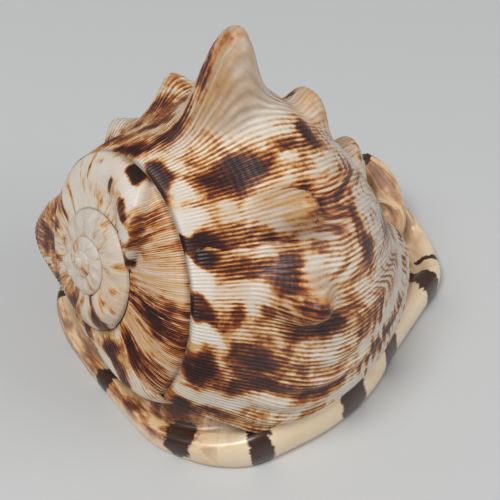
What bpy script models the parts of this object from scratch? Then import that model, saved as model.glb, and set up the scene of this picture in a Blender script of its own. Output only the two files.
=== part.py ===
"""King helmet shell, a large sea snail shell, lying on its flat underside.

One solid, as it grew.  +X points to the front end (the short canal), -X to the
spire, -Y to the outer lip, +Z up; the underside rests on z = 0.  The whorls are
wound about a coiling axis that dips towards the front.  Each half-plane through
that axis holds one outline, and the outline grows as it turns.  A flat shield, a
thick rolled outer lip and an upturned canal close the underside, and the long
narrow aperture opens through it into the last whorl.

Working units are millimetres; the mesh is scaled to metres at the end.
"""

import math

import bmesh
import bpy
from mathutils import Vector

# ---- driving dimensions, mm and degrees --------------------------------------
FRAME_CENTRE = Vector((10.5, 1.2, 0.0))   # the middle of the shell's box, made the origin
APEX = Vector((-77.0, 10.5, 80.0))   # tip of the spire
DIP = 20.0                           # the coiling axis dips this far to the front
WHORL_GROWTH = 2.1                   # the suture spiral grows this much per turn
LIP_ANGLE = 122.0                    # where growth stopped, turned from straight up to the lip
SUTURE = (17.0, 61.0)                # along and out from the axis, at the lip
FRONT_END = 172.0                    # where the whorls close on the axis
COLUMNS = 72                         # outlines in one turn
SPIRE_TURNS = 3                      # earlier whorls that show on the spire
STRIP_STATIONS = 6                   # stations across each strip of spire
OUTER_STATIONS = 24                  # stations on the rest of the last whorl
GROWTH_LINE_TWIST = 0.16             # degrees that a growth line turns back per mm forwards
TWIST_START = 70.0                   # along the axis, where the growth lines don't turn
SPIRE_BELLY = 0.14                   # bulge of a strip as a share of its width

# Outlines of the last whorl (along the axis, out from it), each at its growth angle.
OUTLINES = {
    -360.0: [(17, 61), (28, 66), (44, 66), (61, 61), (80, 53), (101, 43), (121, 31), (140, 17), (156, 4)],
    -300.0: [(18, 47), (28, 53), (43, 56), (61, 56), (80, 50), (101, 40), (121, 28), (140, 15), (156, 4)],
    -240.0: [(18, 42), (29, 46), (43, 51), (60, 53), (80, 49), (101, 38), (121, 25), (140, 13), (156, 4)],
    -180.0: [(21, 47), (34, 50.5), (48, 55.5), (66, 57), (86, 50), (106, 37), (125, 24), (143, 12), (157, 4)],
    -120.0: [(23, 52), (37, 57.5), (53, 67), (72, 70), (92, 61), (111, 46), (129, 30), (145, 15), (158, 4)],
    -60.0: [(26, 60.5), (40, 67), (56, 78), (77, 81.5), (99, 74), (118, 58), (135, 38), (151, 19), (161, 5)],
    0.0: [(29, 71), (42, 79), (58, 87), (78, 88), (102, 83), (126, 72), (148, 56), (166, 35), (177, 8)],
}

# Knobs: growth angle, place along the axis, tip radius, width round, width along, bluntness.
KNOBS = [
    (-239.0, 23.0, 65.0, 16.0, 12.0, 0.9),
    (-186.0, 45.0, 63.0, 9.0, 10.0, 0.85),
    (-152.5, 54.0, 72.0, 7.5, 9.0, 0.85),
    (-118.0, 55.0, 80.0, 17.0, 20.0, 0.85),
    (-119.0, 49.0, 105.0, 9.0, 11.0, 1.25),
    (-80.0, 49.5, 91.0, 8.0, 8.5, 1.2),
    (-53.0, 51.0, 94.0, 8.5, 9.0, 1.1),
    (-114.0, 95.0, 76.0, 11.0, 10.0, 1.5),
    (-109.0, 137.0, 46.0, 10.0, 11.0, 1.0),
]

KNOB_HEIGHTS = []                    # filled in by measure_knobs

# Outline of the underside, anticlockwise from above: x, y, height of the rim's crest.
RIM = [
    (-58, -59, 14), (-45, -67.5, 17), (-27.5, -70.5, 19), (-5, -71.5, 20), (20, -67, 20), (45, -55, 19),
    (68, -42, 17), (89, -32.5, 14), (101, -20, 11), (103, -4, 10), (99, 12, 14), (91, 28, 16),
    (78, 45, 12), (58, 58, 10), (34, 68, 9), (8, 75, 9), (-20, 78, 9), (-47, 76, 9),
    (-67, 66, 9), (-76, 46, 9), (-78, 20, 9), (-77, -8, 9), (-75, -31, 10), (-67.5, -47, 12),
]
RIM_STEPS = 80                       # points round the rim

# Shield section: distance in from the edge, height as a share of the crest, added rise.
SHIELD_PROFILE = [
    (9.0, 0.0, 0.0), (3.0, 0.0, 0.0), (0.0, 0.35, 0.0), (1.5, 0.8, 0.0), (6.0, 1.0, 0.0), (12.0, 0.7, 0.5),
    (17.0, 0.62, 4.0), (22.0, 0.62, 11.0), (28.0, 0.62, 20.0), (38.0, 0.62, 30.0),
]
CANAL_SHARE = 0.445                  # place round the rim where the canal leaves and nothing rises
CANAL_SPREAD = 0.055

# Upturned canal at the front end: centre points (x, y, z) with radius.
CANAL = [
    ((56, 3, 24), 23.0), ((70, 3, 18), 18.5), ((81, 5, 16), 15.0), ((88, 10, 19), 11.5),
    ((90, 16, 27), 9.5), ((88, 21, 36), 7.5), ((85, 25, 42), 4.5),
]

# The aperture: a long slot, its centre line from the spire end to the canal.
SLOT = [(-46, -34), (-22, -43), (4, -43), (30, -36), (54, -25), (72, -14), (85, -5)]
SLOT_WIDTH = [10.0, 15.0, 17.0, 17.0, 15.0, 12.0, 8.0]
SLOT_TOP = [26.0, 44.0, 52.0, 52.0, 42.0, 18.0, 5.0]
SLOT_STEPS = 22                      # stations along the slot
CHAMBER_GAIN = 1.7                   # the hollow inside is this much wider than the slot
SLOT_DEPTH = 12.0                    # thickness of the shield and lip round the slot


def smooth_step(low, high, value):
    share = min(1.0, max(0.0, (value - low) / (high - low)))
    return share * share * (3.0 - 2.0 * share)


def through(points, share, closed=False):
    """Point at share 0..1 along an even Catmull-Rom curve through the points."""
    count = len(points)
    spans = count if closed else count - 1
    place = min(max(share, 0.0), 1.0) * spans
    index = min(int(place), spans - 1)
    s = place - index

    def at(i):
        return Vector(points[i % count] if closed else points[min(max(i, 0), count - 1)])

    a, b, c, d = at(index - 1), at(index), at(index + 1), at(index + 2)
    return 0.5 * (2 * b + (c - a) * s + (2 * a - 5 * b + 4 * c - d) * s * s + (3 * b - a - 3 * c + d) * s ** 3)


# ---- the wound whorls ----------------------------------------------------------
ALONG = Vector((math.cos(math.radians(DIP)), 0.0, -math.sin(math.radians(DIP))))
OVER = Vector((math.sin(math.radians(DIP)), 0.0, math.cos(math.radians(DIP))))
LIPWARD = Vector((0.0, -1.0, 0.0))


def on_axis(x, r, growth):
    """World point from the place along the axis, the radius and the growth angle."""
    turn = math.radians(LIP_ANGLE + growth - GROWTH_LINE_TWIST * max(0.0, x - TWIST_START))
    return APEX + x * ALONG + r * (math.cos(turn) * OVER + math.sin(turn) * LIPWARD)


def suture(growth):
    size = WHORL_GROWTH ** (growth / 360.0)
    return SUTURE[0] * size, SUTURE[1] * size


def strip(start, end, belly):
    """Stations across a strip of spire between two sutures, bulging towards the tip."""
    rise = end[1] - start[1]
    stations = []
    for i in range(STRIP_STATIONS):
        s = i / (STRIP_STATIONS - 1)
        bulge = belly * rise * math.sin(math.pi * s ** 1.4)
        stations.append((start[0] + (end[0] - start[0]) * s - bulge, start[1] + rise * s))
    return stations


def last_outline(growth):
    """The last whorl's outline: a ramp out from the suture, then on to the front end."""
    keys = sorted(OUTLINES)
    low = max(k for k in keys if k <= growth)
    high = min((k for k in keys if k > growth), default=low)
    blend = smooth_step(low, high, growth) if high > low else 0.0
    points = []
    for (xa, ra), (xb, rb) in zip(OUTLINES[low], OUTLINES[high]):
        points.append((xa + (xb - xa) * blend, ra + (rb - ra) * blend))
    ramp = strip(suture(growth), points[0], SPIRE_BELLY)
    rest = [through(points, i / (OUTER_STATIONS - 1)) for i in range(1, OUTER_STATIONS)]
    return ramp + [(p[0], p[1]) for p in rest]


def knob_lift(growth, x, r):
    """Height that the knobs add; each builds on the ones before it in the list."""
    lift = 0.0
    for (angle, place, _, round_width, along_width, bluntness), height in zip(KNOBS, KNOB_HEIGHTS):
        across = math.radians(growth - angle) * r / round_width
        along = (x - place) / along_width
        lift += height * math.exp(-(across * across + along * along) ** bluntness)
    return lift


def measure_knobs():
    """Height of each knob, from the surface below it to its tip radius."""
    for angle, place, tip, _, _, _ in KNOBS:
        base = min(last_outline(angle), key=lambda station: abs(station[0] - place))
        KNOB_HEIGHTS.append(tip - base[1] - knob_lift(angle, place, base[1]))


def wound_whorls():
    """Closed mesh of the whorls: points and faces.

    A column holds every strip at one angle.  The last column lands on the first one
    moved out by a turn, and a flat wall at the lip closes what is left over.
    """
    measure_knobs()
    points = [tuple(APEX), tuple(APEX + FRONT_END * ALONG)]
    tip, front = 0, 1
    span = STRIP_STATIONS - 1
    columns = []
    for column in range(COLUMNS + 1):
        growth = -360.0 + 360.0 * column / COLUMNS
        stations = []
        for turn in range(SPIRE_TURNS, 0, -1):
            inner = growth - 360.0 * turn
            stations += strip(suture(inner), suture(inner + 360.0), SPIRE_BELLY)[:-1]
        skip = 0
        ids = []
        if column == COLUMNS:
            skip = SPIRE_TURNS * span + 1
            ids = columns[0][span:span + skip]
        stations += last_outline(growth)
        for x, r in stations[skip:]:
            lift = knob_lift(growth, x, r)
            ids.append(len(points))
            points.append(tuple(on_axis(x - 0.25 * lift, r + lift, growth)))
        columns.append(ids)

    faces = []
    for left, right in zip(columns, columns[1:]):
        for i in range(len(left) - 1):
            faces.append((left[i], left[i + 1], right[i + 1], right[i]))
        faces.append((tip, left[0], right[0]))
        faces.append((front, right[-1], left[-1]))
    inner_edge = columns[0][:span + 1]
    for a, b in zip(inner_edge, inner_edge[1:]):
        faces.append((tip, b, a))
    outer = columns[COLUMNS][SPIRE_TURNS * span:] + [front]
    inner = columns[0][(SPIRE_TURNS + 1) * span:] + [front]
    faces += zip_faces(outer, inner)
    return points, faces


def zip_faces(outer, inner):
    """Triangles between two rows of points that share their first and last points."""
    faces = []
    i = j = 0
    while i < len(outer) - 1 or j < len(inner) - 1:
        outer_share = (i + 1) / (len(outer) - 1)
        inner_share = (j + 1) / (len(inner) - 1)
        if j == len(inner) - 1 or (i < len(outer) - 1 and outer_share <= inner_share):
            faces.append((outer[i], outer[i + 1], inner[j]))
            i += 1
        else:
            faces.append((outer[i], inner[j + 1], inner[j]))
            j += 1
    return [face for face in faces if len(set(face)) == 3]


# ---- shield, canal and aperture --------------------------------------------------
def stacked(loops):
    """Closed mesh from loops of equal length, with a centre point at each end."""
    count = len(loops[0])
    points = [tuple(p) for loop in loops for p in loop]
    faces = []
    for level in range(len(loops) - 1):
        base = level * count
        for i in range(count):
            j = (i + 1) % count
            faces.append((base + i, base + j, base + count + j, base + count + i))
    for loop, first in ((loops[0], 0), (loops[-1], (len(loops) - 1) * count)):
        middle = len(points)
        points.append(tuple(sum((Vector(p) for p in loop), Vector()) / count))
        for i in range(count):
            pair = (first + (i + 1) % count, first + i)
            faces.append((middle,) + (pair if first == 0 else pair[::-1]))
    return points, faces


def shield():
    """Plate under the whorls: rolled rim outside, rising inside to meet the whorls all round."""
    centre = Vector((14.0, 2.0, 0.0))
    loops = []
    for inset, crest_share, rise in SHIELD_PROFILE:
        loop = []
        for i in range(RIM_STEPS):
            share = i / RIM_STEPS
            crest = through(RIM, share, closed=True)
            covered = 1.0 - math.exp(-((share - CANAL_SHARE) / CANAL_SPREAD) ** 2)
            inward = centre - Vector((crest.x, crest.y, 0.0))
            inward.normalize()
            edge = Vector((crest.x, crest.y, 0.0)) + inset * inward
            loop.append((edge.x, edge.y, crest.z * crest_share + rise * covered))
        loops.append(loop)
    return stacked(loops)


def tube(centres, radii, sides):
    """Closed round tube along the centres."""
    loops = []
    for i, centre in enumerate(centres):
        ahead = (centres[min(i + 1, len(centres) - 1)] - centres[max(i - 1, 0)]).normalized()
        right = ahead.cross(Vector((0.0, 1.0, 0.0))).normalized()
        over = right.cross(ahead)
        ring = []
        for k in range(sides):
            turn = 2.0 * math.pi * k / sides
            ring.append(tuple(centre + radii[i] * (math.cos(turn) * over + math.sin(turn) * right)))
        loops.append(ring)
    return stacked(loops)


def canal():
    centres = [Vector(c) for c, _ in CANAL]
    return tube(centres, [radius for _, radius in CANAL], 20)


def aperture():
    """Cutter: a slot through the shield that widens into the hollow of the last whorl."""
    loops = []
    for i in range(SLOT_STEPS):
        share = i / (SLOT_STEPS - 1)
        middle = through([(x, y, 0.0) for x, y in SLOT], share)
        ahead = through([(x, y, 0.0) for x, y in SLOT], min(share + 0.02, 1.0))
        behind = through([(x, y, 0.0) for x, y in SLOT], max(share - 0.02, 0.0))
        across = (ahead - behind).normalized().cross(Vector((0.0, 0.0, 1.0)))
        half = 0.5 * through([(w, 0, 0) for w in SLOT_WIDTH], share).x
        top = through([(h, 0, 0) for h in SLOT_TOP], share).x
        wide = half * CHAMBER_GAIN
        neck = min(SLOT_DEPTH, 0.5 * top)
        waist = neck + 0.3 * (top - neck)
        shape = [(-half, -4.0), (half, -4.0), (half, neck), (wide, waist), (0.75 * wide, 0.85 * top),
                 (0.0, top), (-0.75 * wide, 0.85 * top), (-wide, waist), (-half, neck)]
        loops.append([tuple(middle + across * side + Vector((0.0, 0.0, z))) for side, z in shape])
    return stacked(loops)


# ---- build -------------------------------------------------------------------------
def add_object(name, shape):
    points, faces = shape
    mesh = bpy.data.meshes.new(name)
    mesh.from_pydata([tuple(0.001 * (Vector(p) - FRAME_CENTRE)) for p in points], [], faces)
    cleaner = bmesh.new()
    cleaner.from_mesh(mesh)
    bmesh.ops.remove_doubles(cleaner, verts=cleaner.verts, dist=0.00005)
    bmesh.ops.recalc_face_normals(cleaner, faces=cleaner.faces)
    cleaner.to_mesh(mesh)
    cleaner.free()
    body = bpy.data.objects.new(name, mesh)
    bpy.context.scene.collection.objects.link(body)
    return body


def add_boolean(body, other, operation):
    other.hide_render = True
    other.display_type = "WIRE"
    step = body.modifiers.new(other.name, "BOOLEAN")
    step.operation = operation
    step.solver = "EXACT"
    step.object = other


def shell_material():
    material = bpy.data.materials.new("shell")
    material.use_nodes = True
    surface = material.node_tree.nodes["Principled BSDF"]
    surface.inputs["Base Color"].default_value = (0.55, 0.45, 0.34, 1.0)
    surface.inputs["Roughness"].default_value = 0.35
    surface.inputs["Metallic"].default_value = 0.0
    return material


def main():
    for leftover in list(bpy.data.objects):
        bpy.data.objects.remove(leftover, do_unlink=True)
    shell = add_object("shell", wound_whorls())
    shell.data.materials.append(shell_material())
    for polygon in shell.data.polygons:
        polygon.use_smooth = True
    add_boolean(shell, add_object("shield_form", shield()), "UNION")
    add_boolean(shell, add_object("canal_form", canal()), "UNION")
    add_boolean(shell, add_object("aperture_form", aperture()), "DIFFERENCE")


main()
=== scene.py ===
"""Looks of a king helmet shell: fine mesh, colour pattern, gloss, floor, light and camera.

The shell is worked out in the CAD's own numbers, in millimetres, from growth: an outline
in each half-plane through the coiling axis, turned and enlarged as the animal grew.
Growth angle 0 is the finished lip and earlier growth is negative.
"""
import math

import bpy
import numpy as np
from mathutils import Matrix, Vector


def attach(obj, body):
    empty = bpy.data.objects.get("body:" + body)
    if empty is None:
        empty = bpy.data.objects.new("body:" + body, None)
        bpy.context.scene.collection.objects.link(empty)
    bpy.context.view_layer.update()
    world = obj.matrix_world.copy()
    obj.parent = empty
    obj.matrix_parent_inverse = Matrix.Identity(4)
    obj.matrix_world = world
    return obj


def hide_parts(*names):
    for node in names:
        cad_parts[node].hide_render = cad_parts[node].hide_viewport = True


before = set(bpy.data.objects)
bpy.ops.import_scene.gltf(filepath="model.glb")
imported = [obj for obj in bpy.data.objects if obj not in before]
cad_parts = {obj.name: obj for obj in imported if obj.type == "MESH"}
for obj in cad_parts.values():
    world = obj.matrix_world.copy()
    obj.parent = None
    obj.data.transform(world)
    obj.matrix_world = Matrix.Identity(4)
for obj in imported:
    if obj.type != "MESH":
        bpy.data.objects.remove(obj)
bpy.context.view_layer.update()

MM = 0.001
FRAME_CENTRE = np.array([10.5, 1.2, 0.0])   # the middle of the shell's box, made the origin

# ---- coiling ---------------------------------------------------------------------
APEX = np.array([-77.0, 10.5, 80.0])   # tip of the spire
DIP = math.radians(20.0)             # the coiling axis dips this far to the front
WHORL_GROWTH = 2.1                   # the suture spiral grows this much per turn
LIP_ANGLE = 122.0                    # where growth stopped, turned from straight up to the lip
SUTURE = (17.0, 61.0)                # along and out from the axis, at the lip
PINCH = 0.09                         # share by which the suture is drawn in on the left side
PINCH_ANGLE = -228.0
PINCH_WIDTH = 55.0
GROWTH_LINE_TWIST = 0.16             # degrees that a growth line turns back per mm forwards
TWIST_START = 70.0                   # along the axis, where the growth lines start to turn
# Directions along the coiling axis, over it and from it towards the lip.
ALONG = np.array([math.cos(DIP), 0.0, -math.sin(DIP)])
OVER = np.array([math.sin(DIP), 0.0, math.cos(DIP)])
LIPWARD = np.array([0.0, -1.0, 0.0])

# Former lips on the spire: growth angle at the outer suture, extra angle at the inner one.
VARICES = [(-467.0, 48.0), (-717.0, 20.0), (-967.0, 20.0)]
VARIX_HEIGHT = 5.5
VARIX_SWELL = (-50.0, -12.0)         # degrees from the edge between which it rises
VARIX_DROP = (-2.0, 1.5)             # degrees from the edge between which it falls
RIB_PITCH = 1.8                      # spacing of the fine ribs at the lip
RIB_RADIUS = 80.0                    # distance from the axis at which that spacing holds
RIB_HEIGHT = 0.17
RIBS_TO_LIP = RIB_RADIUS / RIB_PITCH * 2.0 * math.pi / math.log(WHORL_GROWTH)
BODY_SAMPLES_PER_RIB = 5
SPIRE_SAMPLES_PER_RIB = 13
BODY_STATIONS = 98                   # points along one outline of the last whorl
SPIRE_STATIONS = 34                  # points across one strip of the spire
SPIRE_START = -2250.0
SPIRE_END = -358.0
SPIRE_RIBS = 3.0                     # ribs on the spire for each rib on the body

# Pauses in growth on the last whorl: growth angle, height, from and to share of the outline.
GROWTH_CHECKS = [
    (-69.0, 1.7, 0.10, 0.46), (-29.0, 0.5, 0.15, 0.90), (-98.0, 0.5, 0.30, 0.90),
    (-160.0, 0.7, 0.00, 0.80), (-224.0, 0.8, 0.00, 0.90), (-302.0, 0.7, 0.10, 0.90),
]
CHECK_SLANT = 5.0                    # degrees that a check leans over from end to end
CHECK_LEVEL = 0.3                    # share of the outline where a check is at its own angle
CHECK_WANDER = 0.8                   # degrees that a check strays from its line
CHECK_FADE = 9.0                     # degrees over which its step dies away
SCAR_SLIP = 9.0                      # degrees that the colours slip at the first check
SCAR_FADE = 12.0
FOLD_SPACING = 8.5                   # degrees between the low folds behind the lip
FOLD_HEIGHT = 0.9
FOLD_WANDER = 4.0
# Outlines of the last whorl after its suture: along the axis, out from it; every 60 degrees.
OUTLINE_STEP = 60.0
OUTLINES = [
    [(12, 45), (17, 61), (28, 66), (44, 66), (61, 61),
     (80, 53), (101, 43), (121, 31), (140, 17), (156, 4)],
    [(12, 39), (18, 47), (28, 53), (43, 56), (61, 56),
     (80, 50), (101, 40), (121, 28), (140, 15), (156, 4)],
    [(12, 37.5), (17, 40), (28, 44.5), (43, 51), (60, 53),
     (80, 49), (101, 38), (121, 25), (140, 13), (156, 4)],
    [(13, 40), (20, 43), (33, 47.5), (48, 55), (66, 57),
     (86, 50), (106, 37), (125, 24), (143, 12), (157, 4)],
    [(16, 49), (23, 52), (37, 57.5), (53, 67), (72, 70),
     (92, 61), (111, 46), (129, 30), (145, 15), (158, 4)],
    [(18, 56.5), (26, 60.5), (40, 67), (56, 78), (77, 81.5),
     (99, 74), (118, 58), (135, 38), (151, 19), (161, 5)],
    [(21, 65), (29, 71), (42, 79), (58, 87), (78, 88),
     (102, 83), (126, 72), (148, 56), (166, 35), (177, 8)],
]

# Knobs: growth angle, along the axis, tip radius, width round, width along, sharpness.
KNOBS = [
    (-239, 23, 65, 16, 12, 0.9),
    (-186, 45, 63, 9, 10, 0.85),
    (-152.5, 54, 72, 7.5, 9, 0.85),
    (-118, 55, 80, 17, 20, 0.85),
    (-119, 49, 105, 9, 11, 1.25),
    (-77.5, 51, 92, 7.5, 8, 1.3),
    (-53, 51, 94, 8.5, 9, 1.1),
    (-114, 95, 76, 11, 10, 1.5),
    (-109, 137, 46, 10, 11, 1.0),
]
KNOB_LEAN = 0.25                     # share of its height that a knob leans to the spire


def catmull_blend(a, b, c, d, s):
    """Point between b and c, at a share s of the way, on an even Catmull-Rom curve."""
    return 0.5 * (
        2 * b + (c - a) * s
        + (2 * a - 5 * b + 4 * c - d) * s ** 2
        + (3 * b - a - 3 * c + d) * s ** 3
    )


def catmull(points, share):
    """Open curve through points (first axis) at an array of shares 0..1."""
    points = np.asarray(points, float)
    spans = len(points) - 1
    place = np.clip(share, 0.0, 1.0) * spans
    index = np.minimum(place.astype(int), spans - 1)
    s = (place - index).reshape((-1,) + (1,) * (points.ndim - 1))
    return catmull_blend(*(points[np.clip(index + k, 0, spans)] for k in (-1, 0, 1, 2)), s)


def catmull_closed(points, share):
    """Closed curve through rows of points at an array of shares of the way round."""
    points = np.asarray(points, float)
    count = len(points)
    place = (share % 1.0) * count
    index = place.astype(int)
    s = (place - index)[:, None]
    return catmull_blend(*(points[(index + k) % count] for k in (-1, 0, 1, 2)), s)


def smooth_step(low, high, value):
    """0 below low, 1 above high, and a smooth rise between them."""
    share = np.clip((value - low) / (high - low), 0.0, 1.0)
    return share * share * (3.0 - 2.0 * share)


def size_at(growth):
    """Size of the whorl at a growth angle, as a share of its size at the lip."""
    return WHORL_GROWTH ** (growth / 360.0)


def suture_at(growth):
    """Along and out from the axis; the spiral is pinched in a little over the left side."""
    pinched = 1.0 - PINCH * np.exp(-((growth - PINCH_ANGLE) / PINCH_WIDTH) ** 2)
    size = size_at(growth) * pinched
    return SUTURE[0] * size, SUTURE[1] * size


def varix_lift(growth, shares):
    """A former lip: a swelling that ends in a sharp step, slanted across the whorl."""
    lift = np.zeros(np.broadcast(growth, shares).shape)
    for outer_edge, slant in VARICES:
        past = growth - outer_edge - slant * (1.0 - shares)
        rise = smooth_step(*VARIX_SWELL, past) * (1.0 - smooth_step(*VARIX_DROP, past))
        lift += VARIX_HEIGHT * size_at(outer_edge + 360.0) * rise
    return lift


def rib_phase(growth):
    """Ribs passed since growth began; they keep the same spacing on every whorl."""
    return RIBS_TO_LIP * size_at(growth)


def rib_columns(start, end, per_rib):
    """Growth angles from start to end, the same number to each rib."""
    low, high = rib_phase(start), rib_phase(end)
    phases = np.linspace(low, high, int((high - low) * per_rib))
    return 360.0 * np.log(phases / RIBS_TO_LIP) / math.log(WHORL_GROWTH)


def on_axis(x, r, growth):
    """Points in space from places along the axis, distances out and growth angles."""
    twist = GROWTH_LINE_TWIST * np.maximum(0.0, x - TWIST_START)
    turn = np.radians(LIP_ANGLE + growth - twist)
    radial = np.cos(turn)[..., None] * OVER + np.sin(turn)[..., None] * LIPWARD
    return APEX + x[..., None] * ALONG + r[..., None] * radial


def outline_at(growth, stations):
    """Last whorl outlines (growth, station, 2) for arrays of growth and share."""
    keyed = catmull(OUTLINES, growth / (OUTLINE_STEP * (len(OUTLINES) - 1)) + 1.0)
    start = np.stack(suture_at(growth), -1)
    front = np.stack([keyed[:, -1, 0] + 2.0, np.zeros(len(growth))], -1)
    controls = np.concatenate([start[:, None], keyed, front[:, None]], 1)
    return np.moveaxis(catmull(np.moveaxis(controls, 1, 0), stations), 0, 1)


def knob_lift(growth, x, r, heights):
    """How far the knobs lift the surface; zip leaves out knobs that have no height yet."""
    lift = np.zeros_like(x)
    for (angle, place, _, round_width, along_width, power), height in zip(KNOBS, heights):
        across = np.radians(growth - angle) * r / round_width
        along = (x - place) / along_width
        lift += height * np.exp(-(across ** 2 + along ** 2) ** power)
    return lift


def knob_heights():
    """Height of each knob over the outline and the knobs before it, from its tip radius."""
    heights = []
    for angle, place, tip, _, _, _ in KNOBS:
        growth = np.array([float(angle)])
        outline = outline_at(growth, np.linspace(0.0, 1.0, 400))[0]
        base = outline[np.argmin(np.abs(outline[:, 0] - place))]
        below = knob_lift(growth, base[:1], base[1:], heights)[0]
        heights.append(tip - base[1] - below)
    return heights


def ripple(u, v, seed):
    """Smooth irregular field between about -1 and 1, from a few crossed sine waves."""
    spread = np.random.default_rng(seed)
    field = np.zeros(np.broadcast(u, v).shape)
    for _ in range(7):
        heading = spread.uniform(0.0, 2.0 * math.pi)
        pace = spread.uniform(0.6, 1.8)
        phase = spread.uniform(0.0, 6.3)
        field += np.sin(pace * (u * math.cos(heading) + v * math.sin(heading)) + phase)
    return field / 3.0


BLOT_GRAIN = 5.0                     # mm or degrees to a unit of the fine raggedness
BLOT_COARSE = 0.35                   # pace of the coarse raggedness beside the fine one
BLOT_SQUARE = 2.4                    # 2 gives oval blots, more gives squarer ones
BLOT_EDGE = 1.3                      # more makes a blot's edge steeper


def blot_field(blots, growth, place, length):
    """Sum of flat-topped ragged blots: growth angle, place, half sizes, strength."""
    u, v = growth / BLOT_GRAIN, place * length / BLOT_GRAIN
    coarse_u, coarse_v = BLOT_COARSE * u, BLOT_COARSE * v
    growth = growth + 2.0 * ripple(u, v, 1) + 3.0 * ripple(coarse_u, coarse_v, 3)
    place = place + (2.6 * ripple(u, v, 2) + 4.0 * ripple(coarse_u, coarse_v, 4)) / length
    field = np.zeros(np.broadcast(growth, place).shape)
    for angle, middle, turn, reach, strength in blots:
        round_about = np.abs((growth - angle) / turn) ** BLOT_SQUARE
        distance = round_about + np.abs((place - middle) / reach) ** BLOT_SQUARE
        field += strength * np.exp(-distance ** BLOT_EDGE)
    return 0.75 * np.tanh(1.2 * field)


def past_check(check, growth, shares):
    """Degrees past a growth check's wandering line, and how far it shows on the outline."""
    start, _, low, high = check
    wander = CHECK_WANDER * ripple(shares * 60.0, shares * 0.0, 5)
    past = growth - start - CHECK_SLANT * (shares - CHECK_LEVEL) + wander
    ends = 1.0 - smooth_step(high - 0.1, high, shares)
    return past, smooth_step(low, low + 0.06, shares) * ends


def growth_check(growth, shares):
    """Pauses in growth: small sharp steps that die away along the whorl."""
    lift = np.zeros(np.broadcast(growth, shares).shape)
    for check in GROWTH_CHECKS:
        past, reach = past_check(check, growth, shares)
        fade = np.exp(-np.maximum(past, 0.0) / CHECK_FADE)
        lift += check[1] * reach * smooth_step(-0.3, 0.5, past) * fade
    return lift


def scar_jump(growth, shares):
    """How far the colours have slipped past the old broken lip, in degrees of growth."""
    past, reach = past_check(GROWTH_CHECKS[0], growth, shares)
    fade = np.exp(-np.maximum(past, 0.0) / SCAR_FADE)
    return SCAR_SLIP * reach * smooth_step(-0.3, 0.3, past) * fade


def lip_folds(growth, shares):
    """Low folds along the youngest growth lines, behind the lip."""
    strayed = growth + FOLD_WANDER * ripple(shares * 18.0, 0.0 * shares, 8)
    folds = np.cos(2.0 * math.pi * strayed / FOLD_SPACING)
    return FOLD_HEIGHT * folds * smooth_step(-48.0, -12.0, growth) * smooth_step(0.22, 0.36, shares)


def suture_groove(distance, size):
    """Depth of the seam between two whorls at a distance from it, in millimetres."""
    return 0.9 * size * np.exp(-(distance / (1.2 * size)) ** 2)


def grid_normals(points):
    """Unit normals of a grid of points."""
    across = np.gradient(points, axis=0)
    along = np.gradient(points, axis=1)
    normal = np.cross(across, along)
    return normal / np.maximum(np.linalg.norm(normal, axis=-1, keepdims=True), 1e-9)


def add_mesh(name, points, faces, fields=None):
    """Mesh object in metres from millimetre points, with float fields on its points."""
    mesh = bpy.data.meshes.new(name)
    points = (np.asarray(points).reshape(-1, 3) - FRAME_CENTRE) * MM
    faces = np.asarray(faces)
    mesh.vertices.add(len(points))
    mesh.vertices.foreach_set("co", points.ravel())
    mesh.loops.add(faces.size)
    mesh.loops.foreach_set("vertex_index", faces.ravel())
    mesh.polygons.add(len(faces))
    mesh.polygons.foreach_set("loop_start", np.arange(0, faces.size, faces.shape[1]))
    mesh.update(calc_edges=True)
    mesh.polygons.foreach_set("use_smooth", np.ones(len(faces), dtype=bool))
    for key, values in (fields or {}).items():
        layer = mesh.attributes.new(key, "FLOAT", "POINT")
        layer.data.foreach_set("value", np.asarray(values, dtype=np.float32).ravel())
    mesh.validate()
    shape = bpy.data.objects.new(name, mesh)
    bpy.context.scene.collection.objects.link(shape)
    return shape


def grid_faces(rows, columns, wrap=False):
    """Quads of a grid of rows x columns points; wrap closes the columns."""
    i = np.arange(rows - 1)[:, None]
    j = np.arange(columns if wrap else columns - 1)[None, :]
    k = (j + 1) % columns
    quads = np.stack(np.broadcast_arrays(i * columns + j, i * columns + k,
                                         (i + 1) * columns + k, (i + 1) * columns + j), -1)
    return quads.reshape(-1, 4)


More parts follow.
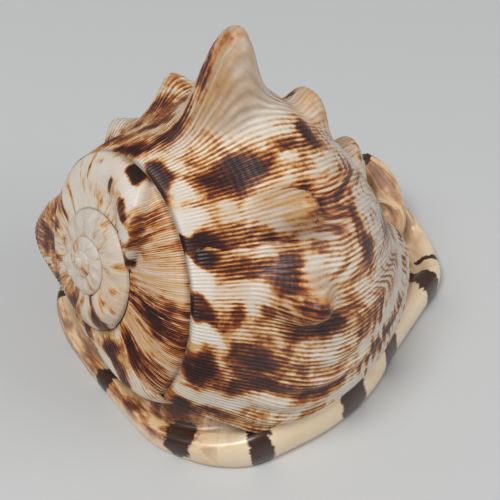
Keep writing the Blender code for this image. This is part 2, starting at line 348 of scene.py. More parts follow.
# ---- last whorl --------------------------------------------------------------------
# Blots of pigment, and one of painted shade: growth angle, share of the outline, half turn, half
# share, strength.
BODY_BLOTS = [
    (-124, 0.30, 1.6, 0.13, 0.9), (-121, 0.29, 1.5, 0.06, 0.7), (-238, 0.13, 6, 0.08, 0.5),
    (-108, 0.56, 1.6, 0.05, 0.6), (-119, 0.56, 1.6, 0.05, 0.5), (-128, 0.09, 9, 0.05, 0.6),
    (-140, 0.22, 5, 0.10, 0.5), (-83, 0.08, 6, 0.07, -1.7), (-60, 0.08, 5.5, 0.07, -1.7),
    (-36, 0.07, 4, 0.07, -1.6), (-97, 0.13, 5, 0.05, -1.2), (-102, 0.08, 6, 0.09, 1.3),
    (-94, 0.26, 6, 0.08, 0.75), (-71, 0.07, 4.5, 0.10, 1.4), (-47, 0.07, 5, 0.08, 1.4),
    (-69, 0.27, 7, 0.08, 0.8), (-24, 0.08, 4, 0.09, 0.9), (-33, 0.26, 6, 0.07, 0.8),
    (-49, 0.24, 4, 0.03, 0.6), (-57, 0.25, 4, 0.04, -0.5), (-81, 0.29, 5, 0.05, -0.5),
    # The first blot on the next line, at -46 and 0.38, is painted shade on the lower side of the knob
    # at -53.
    (-46, 0.38, 5, 0.04, 1.0), (-83, 0.37, 1.6, 0.05, 0.8), (-58, 0.33, 6, 0.03, 0.6),
    (-19, 0.28, 4, 0.16, 0.7), (-5, 0.16, 4, 0.10, 0.8), (-13, 0.18, 4, 0.14, -0.5),
    (-108, 0.10, 5, 0.05, 0.9), (-128, 0.14, 6, 0.08, 0.6), (-66, 0.39, 5, 0.03, -0.45),
    (-119, 0.36, 14, 0.10, -0.6), (-115, 0.60, 10, 0.08, -1.2), (-111, 0.55, 8, 0.05, -0.9),
    (-118, 0.53, 3, 0.02, 1.2), (-155, 0.42, 7, 0.05, -1.0), (-186, 0.38, 7, 0.05, -1.0),
    (-119, 0.24, 2.5, 0.08, 0.5), (-99, 0.46, 5, 0.02, 0.7), (-97, 0.57, 6, 0.02, 0.7),
    (-68, 0.47, 12, 0.012, 0.8), (-60, 0.60, 5, 0.05, 0.6), (-75, 0.58, 4, 0.04, 0.6),
    (-48, 0.55, 5, 0.04, 0.5), (-36, 0.48, 4, 0.04, 0.6), (-25, 0.55, 5, 0.05, 0.6),
    (-10, 0.45, 4, 0.08, -0.4), (-78, 0.40, 5, 0.05, 0.35), (-150, 0.25, 7, 0.10, 0.5),
    (-170, 0.15, 7, 0.10, 0.7), (-190, 0.30, 8, 0.10, 0.6), (-214, 0.12, 6, 0.10, 0.4),
    (-236, 0.30, 8, 0.08, 0.9), (-205, 0.45, 8, 0.08, 0.6), (-172, 0.48, 8, 0.07, 0.6),
    (-262, 0.20, 8, 0.14, 0.8), (-288, 0.22, 8, 0.10, 0.9), (-312, 0.18, 8, 0.12, 0.9),
    (-336, 0.16, 8, 0.10, 0.9), (-300, 0.20, 6, 0.10, -0.8), (-324, 0.18, 6, 0.10, -0.8),
]
GREY_BLOTS = [
    # The first two grey blots, beside the spine, and the one at -66, under the knob at -77.5, are
    # painted shade; the rest are grey colouring.
    (-118, 0.31, 3.5, 0.09, 1.0), (-114, 0.35, 4.0, 0.08, 1.8), (-235, 0.20, 12, 0.15, 0.8),
    (-66, 0.36, 12, 0.10, 0.8), (-90, 0.48, 14, 0.08, 0.6), (-60, 0.58, 16, 0.14, 0.8),
    (-30, 0.33, 12, 0.12, 0.7), (-119, 0.40, 14, 0.08, 0.5), (-104, 0.06, 10, 0.06, 0.5),
    (-140, 0.30, 20, 0.15, 0.5), (-200, 0.40, 30, 0.20, 0.5),
]
AMBER_BLOTS = [
    (-79, 0.38, 9, 0.09, 1.4), (-55, 0.37, 5, 0.04, 0.9), (-119, 0.30, 8, 0.06, 0.5),
    (-113, 0.58, 12, 0.12, 1.1), (-85, 0.25, 8, 0.08, 0.5), (-50, 0.22, 14, 0.05, 0.6),
    (-22, 0.20, 8, 0.12, 0.6), (-130, 0.18, 12, 0.10, 0.6),
]


BODY_LENGTH = 200.0                  # rough length of an outline, for the blots' edges


def last_whorl():
    """The last whorl: smooth outlines, then knobs, ribs, growth checks, folds and seam."""
    growth = rib_columns(-360.0, 0.0, BODY_SAMPLES_PER_RIB)
    shares = np.linspace(0.0, 1.0, BODY_STATIONS)
    outline = outline_at(growth, shares)
    x, r = outline[..., 0], outline[..., 1]
    g = np.broadcast_to(growth[:, None], x.shape)
    lift = knob_lift(g, x, r, knob_heights()) * smooth_step(0.02, 0.16, shares)
    points = on_axis(x - KNOB_LEAN * lift, r + lift, g)
    normal = grid_normals(points)
    ribs = np.cos(2.0 * math.pi * rib_phase(g))
    fade = smooth_step(0.0, 0.03, shares) * (1.0 - 0.75 * smooth_step(0.45, 0.65, shares))
    steps = np.linalg.norm(np.diff(points, axis=1), axis=-1)
    run = np.concatenate([np.zeros((len(growth), 1)), np.cumsum(steps, 1)], 1)
    # The seam's depth is also used by the material as painted shade in the suture groove.
    seam = suture_groove(run, 1.0)
    relief = RIB_HEIGHT * ribs * fade + growth_check(g, shares) + lip_folds(g, shares) - seam
    points = points + relief[..., None] * normal
    off_knobs = 1.0 - 0.4 * smooth_step(9.0, 18.0, lift) - 0.45 * smooth_step(18.0, 30.0, lift)
    ribbing = smooth_step(0.08, 0.17, shares) * (1.0 - 0.75 * smooth_step(0.42, 0.62, shares))
    pigment = blot_field(BODY_BLOTS, g - scar_jump(g, shares), shares[None, :], BODY_LENGTH)
    grey = blot_field(GREY_BLOTS, g, shares[None, :], BODY_LENGTH)
    amber = blot_field(AMBER_BLOTS, g, shares[None, :], BODY_LENGTH)
    fields = {
        "run": run,
        "rib": rib_phase(g),
        "seam": seam,
        "flames": np.broadcast_to(smooth_step(0.44, 0.54, shares), x.shape),
        "ribbing": ribbing * off_knobs,
        "pigment": pigment,
        "grey": grey + 0.45 * smooth_step(0.42, 0.6, shares),
        "amber": amber + 0.6 * smooth_step(3.0, 16.0, lift),
    }
    return add_mesh("last_whorl", points, grid_faces(len(growth), BODY_STATIONS), fields)


# ---- spire ---------------------------------------------------------------------------
# Growth angle, share of the way out across the strip, half turn, half share, strength.
SPIRE_BLOTS = [
    (-450, 0.86, 7, 0.16, 0.4), (-443, 0.62, 5, 0.14, 0.4), (-431, 0.50, 5, 0.12, 0.4),
    (-413, 0.85, 8, 0.10, -0.7), (-474, 0.88, 5, 0.10, 1.6), (-461, 0.56, 6, 0.11, 1.7),
    (-424, 0.06, 5, 0.14, 1.7), (-484, 0.52, 3, 0.08, 1.0), (-500, 0.90, 4, 0.10, 0.8),
    (-452, 0.30, 9, 0.16, -2.0), (-468, 0.74, 9, 0.09, -2.0), (-490, 0.75, 9, 0.16, -1.2),
    (-441, 0.60, 9, 0.40, 0.15), (-425, 0.28, 6, 0.14, -1.2), (-416, 0.50, 6, 0.45, -0.8),
    (-397, 0.40, 8, 0.50, 0.70), (-393, 0.85, 10, 0.30, 0.45), (-379, 0.45, 6, 0.16, -0.6),
    (-371, 0.70, 7, 0.50, 0.55), (-365, 0.30, 5, 0.30, 0.7), (-508, 0.60, 2.0, 0.34, 0.6),
    (-521, 0.72, 1.6, 0.25, 0.5), (-516, 0.38, 2.0, 0.2, 0.5), (-538, 0.55, 2.0, 0.40, 0.5),
    (-556, 0.60, 2.0, 0.40, 0.5), (-580, 0.80, 4.0, 0.30, 0.7), (-605, 0.60, 5, 0.3, 0.5),
    (-520, 0.50, 40, 1.00, -0.55), (-741, 0.50, 45, 1.0, -0.55), (-728, 0.40, 5, 0.20, 0.5),
    (-752, 0.60, 5, 0.20, 0.5), (-775, 0.35, 6, 0.25, 0.5), (-732, 0.75, 4, 0.15, 0.5),
    (-700, 0.50, 9, 0.60, 1.0), (-655, 0.6, 10, 0.3, 0.4),
]
APEX_NUB = (1.6, 3.0)                # height and radius of the smooth first whorls


SPIRE_BEADS = 13.0                   # low beads to a turn on the early whorls
SPIRE_WIDTH = 40.0                   # rough width of a strip, for the blots' edges
SPIRE_BELLY = 0.12                   # bulge of a strip as a share of its width


def spire():
    """The earlier whorls, a strip from suture to suture that winds out from the tip."""
    growth = rib_columns(SPIRE_START, SPIRE_END, SPIRE_SAMPLES_PER_RIB)
    shares = 0.5 - 0.5 * np.cos(np.linspace(0.0, math.pi, SPIRE_STATIONS))
    inner_x, inner_r = (part[:, None] for part in suture_at(growth))
    outer_x, outer_r = (part[:, None] for part in suture_at(growth + 360.0))
    inner_r = inner_r * (growth > SPIRE_START + 360.0)[:, None]
    x = inner_x + (outer_x - inner_x) * shares
    r = inner_r + (outer_r - inner_r) * shares
    g = np.broadcast_to(growth[:, None], x.shape)
    width = outer_r - inner_r
    middle = np.exp(-((shares - 0.55) / 0.25) ** 2)
    beads = np.cos(np.radians(g) * SPIRE_BEADS) * middle * (1.0 - smooth_step(-760.0, -640.0, g))
    x = x - SPIRE_BELLY * width * np.sin(math.pi * shares ** 1.5) - 0.05 * width * beads
    x = x - varix_lift(g, shares) * np.sin(math.pi * shares ** 0.8) ** 0.5
    x = x - APEX_NUB[0] * np.exp(-(r / APEX_NUB[1]) ** 2)
    points = on_axis(x, r, g)
    normal = grid_normals(points)
    rib = SPIRE_RIBS * rib_phase(g)
    ribs = np.cos(2.0 * math.pi * rib)
    past_varix = g - VARICES[0][0] - VARICES[0][1] * (1.0 - shares)
    strip = smooth_step(-1.0, 3.0, past_varix)
    ribbing = 0.12 + 0.88 * strip
    outer_seam = suture_groove(width * (1.0 - shares), size_at(g + 360.0))
    seam = outer_seam + suture_groove(width * shares, size_at(g))
    # A groove along the varix edge; through the seam field the material also darkens it as painted
    # shade.
    seam += 0.6 * np.exp(-((past_varix - 1.0) / 1.4) ** 2)
    points = points + (0.8 * RIB_HEIGHT * ribs * ribbing - seam)[..., None] * normal
    oldest = 1.0 - smooth_step(-860.0, -760.0, g)
    pigment = blot_field(SPIRE_BLOTS, g, shares[None, :], SPIRE_WIDTH)
    fields = {
        "flames": np.zeros_like(r),
        "ribbing": ribbing,
        "seam": seam,
        "rib": rib,
        "run": r,
        "pigment": pigment - 0.30 * oldest - 0.06 * strip,
        "grey": 0.35 * np.exp(-((g + 640.0) / 60.0) ** 2) + 0.5 * oldest,
        "amber": 0.9 * strip + 0.5 * np.exp(-((g + 750.0) / 40.0) ** 2),
    }
    return add_mesh("spire", points, grid_faces(len(growth), SPIRE_STATIONS), fields)


# ---- underside: shield, rolled lip, aperture ---------------------------------------------
# Outline from the spire end of the lip: x, y, crest height, width of the roll.
RIM = [
    (-58, -59, 14, 11), (-45, -67.5, 17, 13), (-27.5, -70.5, 19, 14), (-5, -71.5, 20, 14),
    (20, -67, 20, 14), (45, -55, 19, 13), (70, -44, 17, 12), (88.5, -35, 14, 11),
    (98.5, -20, 12, 10), (103, -4, 15, 9), (99, 10, 28, 9), (92, 23, 43, 9), (82, 38, 26, 9),
    (62, 56, 10, 8), (34, 68, 9, 8), (8, 75, 9, 8), (-20, 78, 9, 8), (-47, 76, 9, 8),
    (-67, 66, 9, 8), (-76, 46, 9, 8), (-78, 20, 9, 8), (-77, -8, 9, 8), (-75, -31, 10, 8),
    (-67.5, -47, 12, 9),
]
# Dark bands across the rolled rim: place round the outline, half width, strength.
# The first eight are read from the photo; the rest, on the hidden side, are made up.
RIM_BANDS = [
    (0.855, 0.009, 0.9), (0.95, 0.018, 1.1), (0.05, 0.016, 1.0), (0.145, 0.013, 1.1),
    (0.195, 0.010, 1.1), (0.27, 0.014, 1.2), (0.315, 0.006, 0.7), (0.445, 0.010, 1.2),
    (0.52, 0.006, 0.8), (0.585, 0.009, 0.9), (0.645, 0.007, 0.8), (0.705, 0.010, 0.9),
    (0.76, 0.006, 0.8),
]
RIM_COLUMNS = 720
RIM_CENTRE = np.array([14.0, 2.0])
CREST_RIPPLE = 0.07                  # irregularity of the crest and of the roll, as shares
ROLL_RIPPLE = 0.12
MOUND = (0.95, 0.085)                # thick callus at the rear of the lip: place and half width
STAIN = (0.92, 0.075)                # its brown stain
CANAL_GAP = (0.445, 0.055)           # where the shield stays low, under the canal
# Aperture from the spire end to the front: middle line, width, height of its roof.
SLOT = [(-46, -34), (-22, -43), (4, -43), (30, -36), (54, -25), (72, -14), (85, -5)]
SLOT_WIDTH = [4.0, 13.0, 16.0, 16.0, 14.0, 11.0, 6.0]
SLOT_TOP = [20.0, 44.0, 52.0, 52.0, 42.0, 20.0, 9.0]
SLOT_FLOOR = 8.0                     # height where the teeth end and the walls begin
FRONT_SHARE = 9.0 / 24.0             # share of the outline that belongs to the lip
LIP_TEETH = 13
SHIELD_TEETH = 19
# The underside's loops of points, in order from the aperture's roof outwards.
# Roof and walls: share of the half width, share of the height over SLOT_FLOOR.
SLOT_WALLS = [(0.05, 1.0), (0.7, 0.92), (1.3, 0.7), (1.6, 0.45)]
# Toothed edge: share of the half width, height, reach of a tooth.
SLOT_EDGE = [(1.05, 8.0, 0.3), (0.95, 4.5, 1.0), (1.0, 2.0, 1.3), (1.25, 0.6, 1.0)]
FLAT_LOOPS = 9
# Rolled rim: distance in from the edge in roll widths, share of the crest's height.
ROLL_PROFILE = [
    (0.25, 0.0), (0.08, 0.06), (0.0, 0.25), (0.0, 0.5), (0.06, 0.74), (0.2, 0.92),
    (0.4, 1.0), (0.6, 0.98), (0.8, 0.88), (0.95, 0.72), (1.1, 0.62),
]
# Top of the shield, in under the last whorl: distance in from the roll, rise.
SHIELD_TOP = [(2.5, 0.8), (5.5, 3.5), (8.5, 8.0), (12.0, 14.0), (17.0, 23.0), (24.0, 31.0)]


def ring(share, radius):
    """Two coordinates round a circle, so that a field along the rim has no join."""
    turn = 2.0 * math.pi * share
    return radius * np.cos(turn), radius * np.sin(turn)


def rim_at(share):
    """Edge, inward direction, crest height and roll width at shares of the way round."""
    rim = catmull_closed(RIM, share)
    ring_x, ring_y = ring(share, 4.0)
    edge = rim[:, :2]
    crest = rim[:, 2] * (1.0 + CREST_RIPPLE * ripple(ring_x, ring_y, 6))
    roll = rim[:, 3] * (1.0 + ROLL_RIPPLE * ripple(ring_x, ring_y, 7))
    tangent = np.roll(edge, -3, 0) - np.roll(edge, 3, 0)
    inward = np.stack([-tangent[:, 1], tangent[:, 0]], -1)
    inward /= np.linalg.norm(inward, axis=1)[:, None]
    inward = inward * np.sign(((RIM_CENTRE - edge) * inward).sum(1))[:, None]
    return edge, inward, crest, roll


def slot_at(share):
    """Aperture beside each share of the rim: middle, way out, half width, roof, teeth."""
    lip_side = share <= FRONT_SHARE
    place = np.where(lip_side, share / FRONT_SHARE, (1.0 - share) / (1.0 - FRONT_SHARE))
    middle = catmull(SLOT, place)
    ahead = catmull(SLOT, place + 0.01) - catmull(SLOT, place - 0.01)
    ahead /= np.linalg.norm(ahead, axis=1)[:, None]
    out = np.stack([ahead[:, 1], -ahead[:, 0]], -1) * np.where(lip_side, 1.0, -1.0)[:, None]
    rounded_ends = np.sqrt(np.clip(1.0 - (2.0 * place - 1.0) ** 8, 0.0, 1.0))
    half = 0.5 * catmull(SLOT_WIDTH, place) * rounded_ends
    teeth = np.cos(2 * math.pi * place * np.where(lip_side, LIP_TEETH, SHIELD_TEETH))
    return middle, out, half, catmull(SLOT_TOP, place), teeth


def underside_loops(share):
    """Loops of points from the aperture's roof over the flat and the roll to the shield."""
    edge, inward, crest, roll = rim_at(share)
    middle, out, half, top, teeth = slot_at(share)
    mound = np.exp(-(((share - MOUND[0] + 0.5) % 1.0 - 0.5) / MOUND[1]) ** 4)
    raised = 1.0 - np.exp(-((share - CANAL_GAP[0]) / CANAL_GAP[1]) ** 2)
    loops = []

    def loop(plane, height):
        loops.append(np.column_stack([plane, np.broadcast_to(height, share.shape)]))

    for wide, high in SLOT_WALLS:
        loop(middle + out * (half * wide)[:, None], SLOT_FLOOR + (top - SLOT_FLOOR) * high)
    for gap, high, tooth in SLOT_EDGE:
        push = -tooth * (0.5 + 0.5 * teeth) * smooth_step(0.0, 2.0, half)
        loop(middle + out * (half * gap + push)[:, None], high)
    inner = middle + out * (half * 1.25 + 2.0)[:, None]
    outer = edge + inward * 5.0
    for s in np.linspace(0.1, 1.0, FLAT_LOOPS):
        loop(inner + (outer - inner) * s, 0.25 * math.sin(math.pi * s))
    for inset, high in ROLL_PROFILE:
        filled = high + (1.05 - high) * mound * smooth_step(0.4, 0.8, inset)
        loop(edge + inward * (roll * inset)[:, None], crest * filled)
    for reach, rise in SHIELD_TOP:
        inset = 1.1 * roll + reach * (0.3 + 0.7 * raised) * (1.0 - 0.3 * mound)
        height = (0.62 + 0.48 * mound) * crest + rise * raised * (1.0 + 0.7 * mound)
        loop(edge + inward * inset[:, None], height)
    return np.array(loops)


def rim_bands(around, rows):
    """Strength of the dark bands, with ragged inner ends, on rows over the roll only."""
    band = np.zeros(around.shape)
    for middle, half_width, strength in RIM_BANDS:
        distance = np.abs((around - middle + 0.5) % 1.0 - 0.5) / half_width
        band += strength * np.exp(-distance ** 2)
    ring_x, ring_y = ring(around[0], 4.0)
    ragged = rows + 1.5 * ripple(3.0 * ring_x, 3.0 * ring_y, 9)
    inner_end = 0.35 + 0.65 * smooth_step(17.0, 20.0, ragged)
    on_roll = smooth_step(16.5, 17.5, rows)
    return band * (inner_end * on_roll * (1.0 - smooth_step(27.0, 28.5, rows)))


def underside():
    """Shield, rolled lip and toothed aperture."""
    share = np.arange(RIM_COLUMNS) / RIM_COLUMNS
    points = underside_loops(share)
    around = np.broadcast_to(share, points.shape[:2])
    rows = np.arange(len(points))[:, None]
    stain = np.exp(-((share - STAIN[0]) / STAIN[1]) ** 4)
    worn = smooth_step(0.52, 0.66, around) * (1.0 - smooth_step(0.84, 0.90, around))
    worn = worn * (1.0 - 0.7 * smooth_step(23.0, 27.0, rows))
    worn += 0.8 * np.exp(-((around - 0.40) / 0.05) ** 2) + 1.3 * smooth_step(19.5, 22.5, rows) * stain
    ring_x, ring_y = ring(around, 1.0)
    fields = {
        "ring_x": ring_x,
        "ring_y": ring_y,
        "across": np.broadcast_to(np.linspace(0.0, 1.0, len(points))[:, None], around.shape),
        "band": rim_bands(around, rows),
        "callus": np.broadcast_to(smooth_step(26.5, 29.5, rows), around.shape),
        "worn": worn,
    }
    return add_mesh("underside", points, grid_faces(len(points), RIM_COLUMNS, wrap=True), fields)


# Upturned canal at the front end: centre points with radius.
CANAL = [
    (56, 3, 25, 22.0), (70, 3, 19, 16.5), (81, 5, 17, 14.0), (88, 10, 20, 11.5), (90, 16, 27, 9.5),
    (88, 21, 36, 7.5), (85, 25, 43, 4.0),
]
CANAL_RINGS = 60
CANAL_SIDES = 72


def canal():
    """Recurved tube that carries the front end of the whorls up behind the lip."""
    path = catmull(CANAL, np.linspace(0.0, 1.0, CANAL_RINGS))
    ahead = np.gradient(path[:, :3], axis=0)
    ahead /= np.linalg.norm(ahead, axis=1)[:, None]
    side = np.cross(ahead, (0.0, 1.0, 0.0))
    side /= np.linalg.norm(side, axis=1)[:, None]
    over = np.cross(side, ahead)
    turn = np.linspace(0.0, 2.0 * math.pi, CANAL_SIDES, endpoint=False)
    flutes = 1.0 + 0.03 * np.cos(9.0 * turn) + 0.03 * np.cos(4.0 * turn + 1.0)
    ring = np.cos(turn)[None, :, None] * over[:, None] + np.sin(turn)[None, :, None] * side[:, None]
    points = path[:, None, :3] + path[:, 3, None, None] * flutes[None, :, None] * ring
    tip = np.broadcast_to(points[-1:].mean(1, keepdims=True), points[-1:].shape)
    points = np.concatenate([points, tip])
    along = np.broadcast_to(np.linspace(0.0, 3.0, len(points))[:, None], points.shape[:2])
    fields = {
        "ring_x": np.broadcast_to(np.cos(turn) * 0.2, along.shape),
        "ring_y": np.broadcast_to(np.sin(turn) * 0.2, along.shape),
        "across": along * 0.05,
        "band": 1.2 * smooth_step(2.75, 2.95, along),
        "callus": np.full(along.shape, 0.9),
        "worn": np.full(along.shape, 0.5),
    }
    return add_mesh("canal", points, grid_faces(len(points), CANAL_SIDES, wrap=True), fields)


# ---- materials -------------------------------------------------------------------------------
def srgb(red, green, blue):
    """Linear colour from 0..255 display values."""
    def linear(value):
        value /= 255.0
        return value / 12.92 if value <= 0.04045 else ((value + 0.055) / 1.055) ** 2.4
    return (linear(red), linear(green), linear(blue), 1.0)


class Nodes:
    """Small helper that adds and wires nodes of one material."""

    def __init__(self, name):
        self.material = bpy.data.materials.new(name)
        self.material.use_nodes = True
        self.tree = self.material.node_tree
        self.surface = self.tree.nodes["Principled BSDF"]

    def put(self, socket, value):
        """Link another node's output to a socket, or set the socket to a value."""
        if isinstance(value, bpy.types.NodeSocket):
            self.tree.links.new(value, socket)
        else:
            socket.default_value = value

    def attribute(self, name):
        node = self.tree.nodes.new("ShaderNodeAttribute")
        node.attribute_name = name
        return node.outputs["Fac"]

    def math(self, operation, first, second=0.0, clamp=False):
        node = self.tree.nodes.new("ShaderNodeMath")
        node.operation = operation
        node.use_clamp = clamp
        self.put(node.inputs[0], first)
        self.put(node.inputs[1], second)
        return node.outputs[0]

    def plus(self, *terms, clamp=False):
        """Sum of two or more terms, from the first to the last."""
        total = terms[0]
        for term in terms[1:-1]:
            total = self.math("ADD", total, term)
        return self.math("ADD", total, terms[-1], clamp)

    def times(self, first, second, clamp=False):
        return self.math("MULTIPLY", first, second, clamp)

    def minus(self, first, second):
        return self.math("SUBTRACT", first, second)

    def combine(self, x, y, z=0.0):
        node = self.tree.nodes.new("ShaderNodeCombineXYZ")
        for socket, value in zip(node.inputs, (x, y, z)):
            self.put(socket, value)
        return node.outputs[0]

    def noise(self, vector, scale, detail=3.0, roughness=0.5, distortion=0.0):
        """Noise about zero, roughly -0.5 to 0.5."""
        node = self.tree.nodes.new("ShaderNodeTexNoise")
        self.put(node.inputs["Vector"], vector)
        node.inputs["Scale"].default_value = scale
        node.inputs["Detail"].default_value = detail
        node.inputs["Roughness"].default_value = roughness
        node.inputs["Distortion"].default_value = distortion
        return self.minus(node.outputs["Fac"], 0.5)

    def ramp(self, factor, stops):
        node = self.tree.nodes.new("ShaderNodeValToRGB")
        band = node.color_ramp
        band.elements[0].position, band.elements[0].color = stops[0]
        band.elements[1].position, band.elements[1].color = stops[-1]
        for place, colour in stops[1:-1]:
            band.elements.new(place).color = colour
        self.put(node.inputs["Fac"], factor)
        return node.outputs["Color"]

    def mix(self, factor, first, second, blend="MIX"):
        node = self.tree.nodes.new("ShaderNodeMix")
        node.data_type = "RGBA"
        node.blend_type = blend
        self.put(node.inputs["Factor"], factor)
        self.put(node.inputs["A"], first)
        self.put(node.inputs["B"], second)
        return node.outputs["Result"]

    def bump(self, height, distance):
        """Normals for a height field of 0 to 1 that stands for a distance in metres."""
        node = self.tree.nodes.new("ShaderNodeBump")
        node.inputs["Distance"].default_value = distance
        self.put(node.inputs["Height"], height)
        return node.outputs["Normal"]


THREAD_PITCH = 2.6                   # mm between the fine threads that cross the ribs
ZIGZAG = 2.6                         # mm from a bend of the flame marks to the next
FLAME_PITCH = 24.0                   # mm between the flame marks


def shell_pattern():
    """Blotched, ribbed outer surface; the grooves between the ribs are darkened as painted shade."""
    n = Nodes("patterned_shell")
    rib, run = n.attribute("rib"), n.attribute("run")
    pigment, grey, amber = n.attribute("pigment"), n.attribute("grey"), n.attribute("amber")
    flames = n.attribute("flames")
    growth_mm = n.times(rib, RIB_PITCH)
    flat = n.combine(growth_mm, run)
    combed = n.combine(growth_mm, n.times(run, 0.22))
    streaked = n.combine(n.times(growth_mm, 0.30), run)
    drawn_out = n.combine(growth_mm, n.times(run, 0.12))
    cloud = n.noise(flat, 0.055, 4.0, 0.55, 0.6)
    patch = n.noise(flat, 0.16, 3.0, 0.6, 0.3)
    comb = n.noise(combed, 0.55, 3.0, 0.6)
    streak = n.noise(streaked, 0.22, 3.0, 0.55, 0.2)
    along_spine = n.noise(drawn_out, 0.35, 4.0, 0.6, 0.5)

    wobble = n.times(n.noise(flat, 0.12, 2.0), 0.5)
    wave = n.math("COSINE", n.times(n.plus(rib, wobble), 2.0 * math.pi))
    uneven = n.plus(n.times(n.noise(flat, 0.09, 2.0), 2.2), 0.75, clamp=True)
    wave = n.times(wave, n.times(n.attribute("ribbing"), uneven))
    threads = n.times(n.plus(run, n.times(patch, 2.0)), 2.0 * math.pi / THREAD_PITCH)
    threads = n.math("COSINE", threads)

    zigzag = n.math("PINGPONG", n.plus(run, n.times(cloud, 4.0)), ZIGZAG)
    axial = n.plus(growth_mm, n.times(zigzag, 3.0), n.times(cloud, 14.0))
    flame = n.math("COSINE", n.times(axial, 2.0 * math.pi / FLAME_PITCH))
    flame = n.plus(n.times(flame, 0.20), n.times(streak, 0.7))

    level = n.plus(
        n.times(pigment, 0.48), 0.45, n.times(cloud, 0.9), n.times(patch, 0.5),
        n.times(comb, 0.4), n.times(flame, flames),
    )
    # Painted shade: the pigment level is raised in the grooves between the ribs.
    level = n.minus(level, n.times(wave, 0.09))
    level = n.plus(level, n.times(n.times(along_spine, 1.1), amber))
    level = n.minus(level, n.plus(n.times(amber, 0.06), n.times(flames, 0.13)))
    brown = n.ramp(level, [
        (0.00, srgb(238, 233, 226)), (0.36, srgb(232, 219, 199)), (0.45, srgb(222, 172, 106)),
        (0.54, srgb(170, 98, 42)), (0.63, srgb(100, 44, 20)), (0.75, srgb(54, 20, 13)),
        (1.00, srgb(30, 12, 10)),
    ])
    warm = n.times(amber, n.plus(n.times(along_spine, 3.0), 0.9), clamp=True)
    tinted = n.mix(n.times(warm, 0.8), brown, srgb(232, 182, 104), "MULTIPLY")
    # Grey cast from the grey field: grey blotches and the chalky oldest whorls, with painted shade
    # from the grey blots beside the spine and under a knob.
    dusk = n.times(grey, n.plus(n.times(comb, 1.6), 0.5), clamp=True)
    veil = n.plus(n.times(flames, 0.3), 0.55)
    colour = n.mix(n.times(dusk, veil), tinted, srgb(136, 118, 112))
    # Painted shade: the grooves between the ribs are multiplied darker.
    rib_groove_shade = n.times(n.minus(0.5, n.times(wave, 0.5)), 0.42)
    colour = n.mix(rib_groove_shade, colour, srgb(140, 108, 88), "MULTIPLY")
    # Painted shade: the colour is darkened by the seam depth, in the grooves between whorls and at
    # the varix edge.
    seam_shade = n.times(n.attribute("seam"), 0.6, clamp=True)
    colour = n.mix(seam_shade, colour, srgb(90, 52, 34), "MULTIPLY")
    n.put(n.surface.inputs["Base Color"], colour)
    n.put(n.surface.inputs["Roughness"], n.plus(n.times(patch, 0.25), 0.42))
    n.surface.inputs["Specular IOR Level"].default_value = 0.35
    n.surface.inputs["Coat Weight"].default_value = 0.1
    n.surface.inputs["Coat Roughness"].default_value = 0.25
    grain = n.times(n.noise(flat, 1.4, 3.0), 0.5)
    height = n.plus(n.times(wave, 0.5), n.times(threads, 0.2), grain)
    n.put(n.surface.inputs["Normal"], n.bump(height, 0.00012))
    return n.material


RIM_RADIUS = 73.0                    # rough radius of the rim, to give its noise a size in mm


def lip_material():
    """Glossy cream and peach callus with dark bands over the rolled rim."""
    n = Nodes("glossy_lip")
    across, band = n.attribute("across"), n.attribute("band")
    callus, worn = n.attribute("callus"), n.attribute("worn")
    ring_x = n.times(n.attribute("ring_x"), RIM_RADIUS)
    ring_y = n.times(n.attribute("ring_y"), RIM_RADIUS)
    solid = n.combine(ring_x, ring_y, n.times(across, 140.0))
    cloud = n.noise(solid, 0.07, 4.0, 0.55, 0.8)
    layers = n.combine(n.times(ring_x, 0.22), n.times(ring_y, 0.22), n.times(across, 90.0))
    streak = n.noise(layers, 0.6, 3.0, 0.6, 0.3)
    cream = n.ramp(n.plus(n.times(cloud, 0.9), 0.5), [
        (0.0, srgb(240, 226, 202)), (0.5, srgb(234, 210, 176)), (1.0, srgb(212, 166, 118)),
    ])
    deep = n.plus(n.times(callus, 0.12), 0.10)
    deep = n.plus(n.times(worn, deep), 0.40)
    tan = n.ramp(n.plus(n.times(cloud, 2.0), deep, n.times(streak, 0.9)), [
        (0.25, srgb(226, 194, 150)), (0.40, srgb(200, 146, 98)), (0.55, srgb(158, 100, 60)),
        (0.80, srgb(92, 46, 28)),
    ])
    cream = n.mix(n.times(callus, 0.85), cream, tan)
    cream = n.mix(n.times(worn, 0.75, clamp=True), cream, tan)
    edge = n.plus(band, n.plus(n.times(streak, 0.35), n.times(cloud, 1.4)))
    dark = n.ramp(edge, [(0.38, (0, 0, 0, 1)), (0.52, (1, 1, 1, 1))])
    uneven = n.plus(n.times(streak, 1.2), 0.4, clamp=True)
    brown = n.mix(uneven, srgb(34, 20, 20), srgb(84, 50, 34))
    n.put(n.surface.inputs["Base Color"], n.mix(dark, cream, brown))
    n.put(n.surface.inputs["Roughness"], n.plus(n.times(callus, 0.22), 0.28))
    n.surface.inputs["Coat Weight"].default_value = 0.2
    n.surface.inputs["Coat Roughness"].default_value = 0.15
    n.put(n.surface.inputs["Normal"], n.bump(streak, 0.0001))
    return n.material


def plain(name, colour):
    """Matt material of one colour."""
    material = bpy.data.materials.new(name)
    material.use_nodes = True
    surface = material.node_tree.nodes["Principled BSDF"]
    surface.inputs["Base Color"].default_value = colour
    surface.inputs["Roughness"].default_value = 0.6
    return material


whorl = last_whorl()
pattern = shell_pattern()
whorl.data.materials.append(pattern)
tip = spire()
tip.data.materials.append(pattern)
base = underside()
spout = canal()
lip = lip_material()
base.data.materials.append(lip)
spout.data.materials.append(lip)
for piece in (whorl, tip, base, spout):
    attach(piece, "root")
    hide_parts("shell")


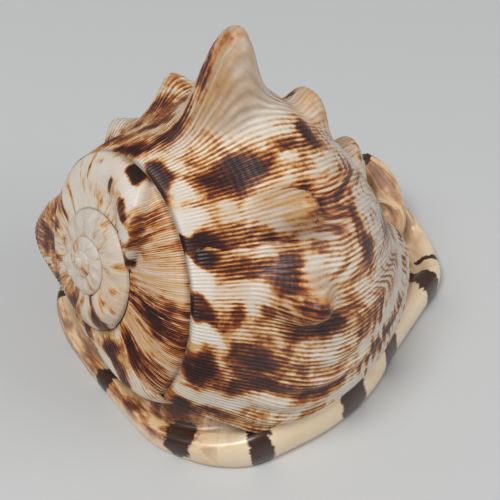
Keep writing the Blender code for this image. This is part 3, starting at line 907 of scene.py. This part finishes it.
# ---- floor, light, camera --------------------------------------------------------------------
FLOOR_HALF = 20.0                    # metres
LIGHT_TARGET = (0, 0, 0.05)


def add_floor():
    """Pale grey table under the shell."""
    mesh = bpy.data.meshes.new("floor")
    corners = [(-1, -1), (1, -1), (1, 1), (-1, 1)]
    mesh.from_pydata([(x * FLOOR_HALF, y * FLOOR_HALF, 0) for x, y in corners], [], [(0, 1, 2, 3)])
    floor = bpy.data.objects.new("floor", mesh)
    bpy.context.scene.collection.objects.link(floor)
    floor.data.materials.append(plain("floor", (0.58, 0.585, 0.58, 1.0)))


def add_area(name, place, target, size, power):
    """Square soft light at a place, turned to a target."""
    light = bpy.data.lights.new(name, "AREA")
    light.energy = power
    light.size = size
    lamp = bpy.data.objects.new(name, light)
    lamp.location = place
    lamp.rotation_euler = (Vector(target) - Vector(place)).to_track_quat("-Z", "Y").to_euler()
    bpy.context.scene.collection.objects.link(lamp)


def add_camera(azimuth, elevation, distance, lens, target):
    """Camera at a distance from its target; azimuth 0 looks along +Y."""
    a, e = math.radians(azimuth), math.radians(elevation)
    back = Vector((math.sin(a) * math.cos(e), -math.cos(a) * math.cos(e), math.sin(e)))
    camera = bpy.data.objects.new("camera", bpy.data.cameras.new("camera"))
    camera.data.lens = lens
    camera.location = Vector(target) + back * distance
    camera.rotation_euler = (-back).to_track_quat("-Z", "Y").to_euler()
    bpy.context.scene.collection.objects.link(camera)
    bpy.context.scene.camera = camera


add_floor()
add_area("key", (-1.1, -0.3, 2.2), LIGHT_TARGET, 1.0, 40.0)
add_area("fill", (1.4, -1.6, 1.2), LIGHT_TARGET, 1.5, 19.0)
world = bpy.data.worlds.new("studio")
world.use_nodes = True
world.node_tree.nodes["Background"].inputs[0].default_value = (0.85, 0.87, 0.9, 1.0)
world.node_tree.nodes["Background"].inputs[1].default_value = 0.3
bpy.context.scene.world = world
bpy.context.scene.view_settings.view_transform = "Standard"
add_camera(-35.0, 46.0, 0.48, 77.8, (-0.0105, -0.0012, 0.05))
